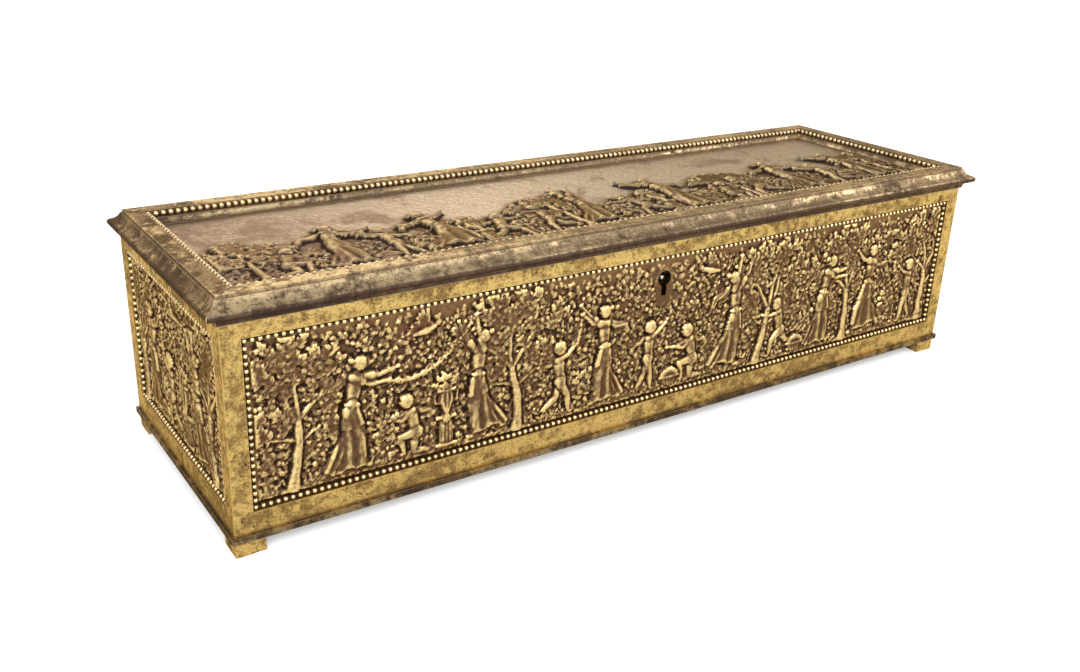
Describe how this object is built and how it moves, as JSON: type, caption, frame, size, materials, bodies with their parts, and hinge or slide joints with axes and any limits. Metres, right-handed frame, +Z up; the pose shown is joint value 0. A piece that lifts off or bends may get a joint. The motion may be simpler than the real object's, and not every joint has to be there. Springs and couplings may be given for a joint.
{
  "type": "glove box",
  "caption": "Long shallow gilt metal casket with relief panels framed by pearls, a moulded hinged lid, a lock and small corner feet.",
  "frame": {"origin": "centre of the object's outline on the surface that it stands on", "axes": "+X to the right along the length, +Y to the back where the hinge is, +Z up; the keyhole side is the front"},
  "size_m": [0.3184, 0.1072, 0.0806],
  "materials": {
    "gilt_frame": "fire-gilt cast bronze, satin, pitted and patinated brown",
    "relief": "cast relief, dark brown hollows and rubbed golden highlights",
    "bright_brass": "rubbed gilt brass, satin",
    "steel": "worn steel, slightly darkened",
    "velvet": "cotton velvet, deep wine red",
    "lid_board": "thin stained board, matt"
  },
  "bodies": {
    "case": {"front_frame": "gilt_frame", "back_frame": "gilt_frame", "left_frame": "gilt_frame", "right_frame": "gilt_frame", "front_panel": "relief", "back_panel": "relief", "left_panel": "relief", "right_panel": "relief", "front_pearls": "bright_brass", "back_pearls": "bright_brass", "left_pearls": "bright_brass", "right_pearls": "bright_brass", "base_plate": "gilt_frame", "front_left_foot": "gilt_frame", "front_right_foot": "gilt_frame", "back_left_foot": "gilt_frame", "back_right_foot": "gilt_frame", "base_screws": "bright_brass", "foot_screws": "steel", "corner_angles": "bright_brass", "floor_pad": "velvet", "front_lining": "velvet", "back_lining": "velvet", "left_lining": "velvet", "right_lining": "velvet", "lock_case": "bright_brass", "lock_plate": "bright_brass", "lock_spring": "steel", "drill_pin": "steel", "lock_screws": "steel", "hinge_body_leaf": "bright_brass", "hinge_pin": "steel", "hinge_body_screws": "steel"},
    "lid": {"lid_front_rail": "gilt_frame", "lid_back_rail": "gilt_frame", "lid_left_rail": "gilt_frame", "lid_right_rail": "gilt_frame", "lid_panel": "relief", "lid_pearls": "bright_brass", "lid_board": "lid_board", "lid_pad": "velvet", "hinge_lid_leaf": "bright_brass", "hinge_lid_screws": "steel", "lock_striker": "bright_brass", "striker_screws": "steel"},
    "bolt": {"lock_bolt": "steel"}
  },
  "joints": [
    {"name": "lid_hinge", "type": "hinge", "parent": "case", "child": "lid", "pos_m": [0, 0.0507, 0.0691], "axis": [-1, 0, 0], "range_deg": [0, 105]},
    {"name": "bolt_slide", "type": "slide", "parent": "case", "child": "bolt", "axis": [1, 0, 0], "range_m": [0, 0.004]}
  ]
}
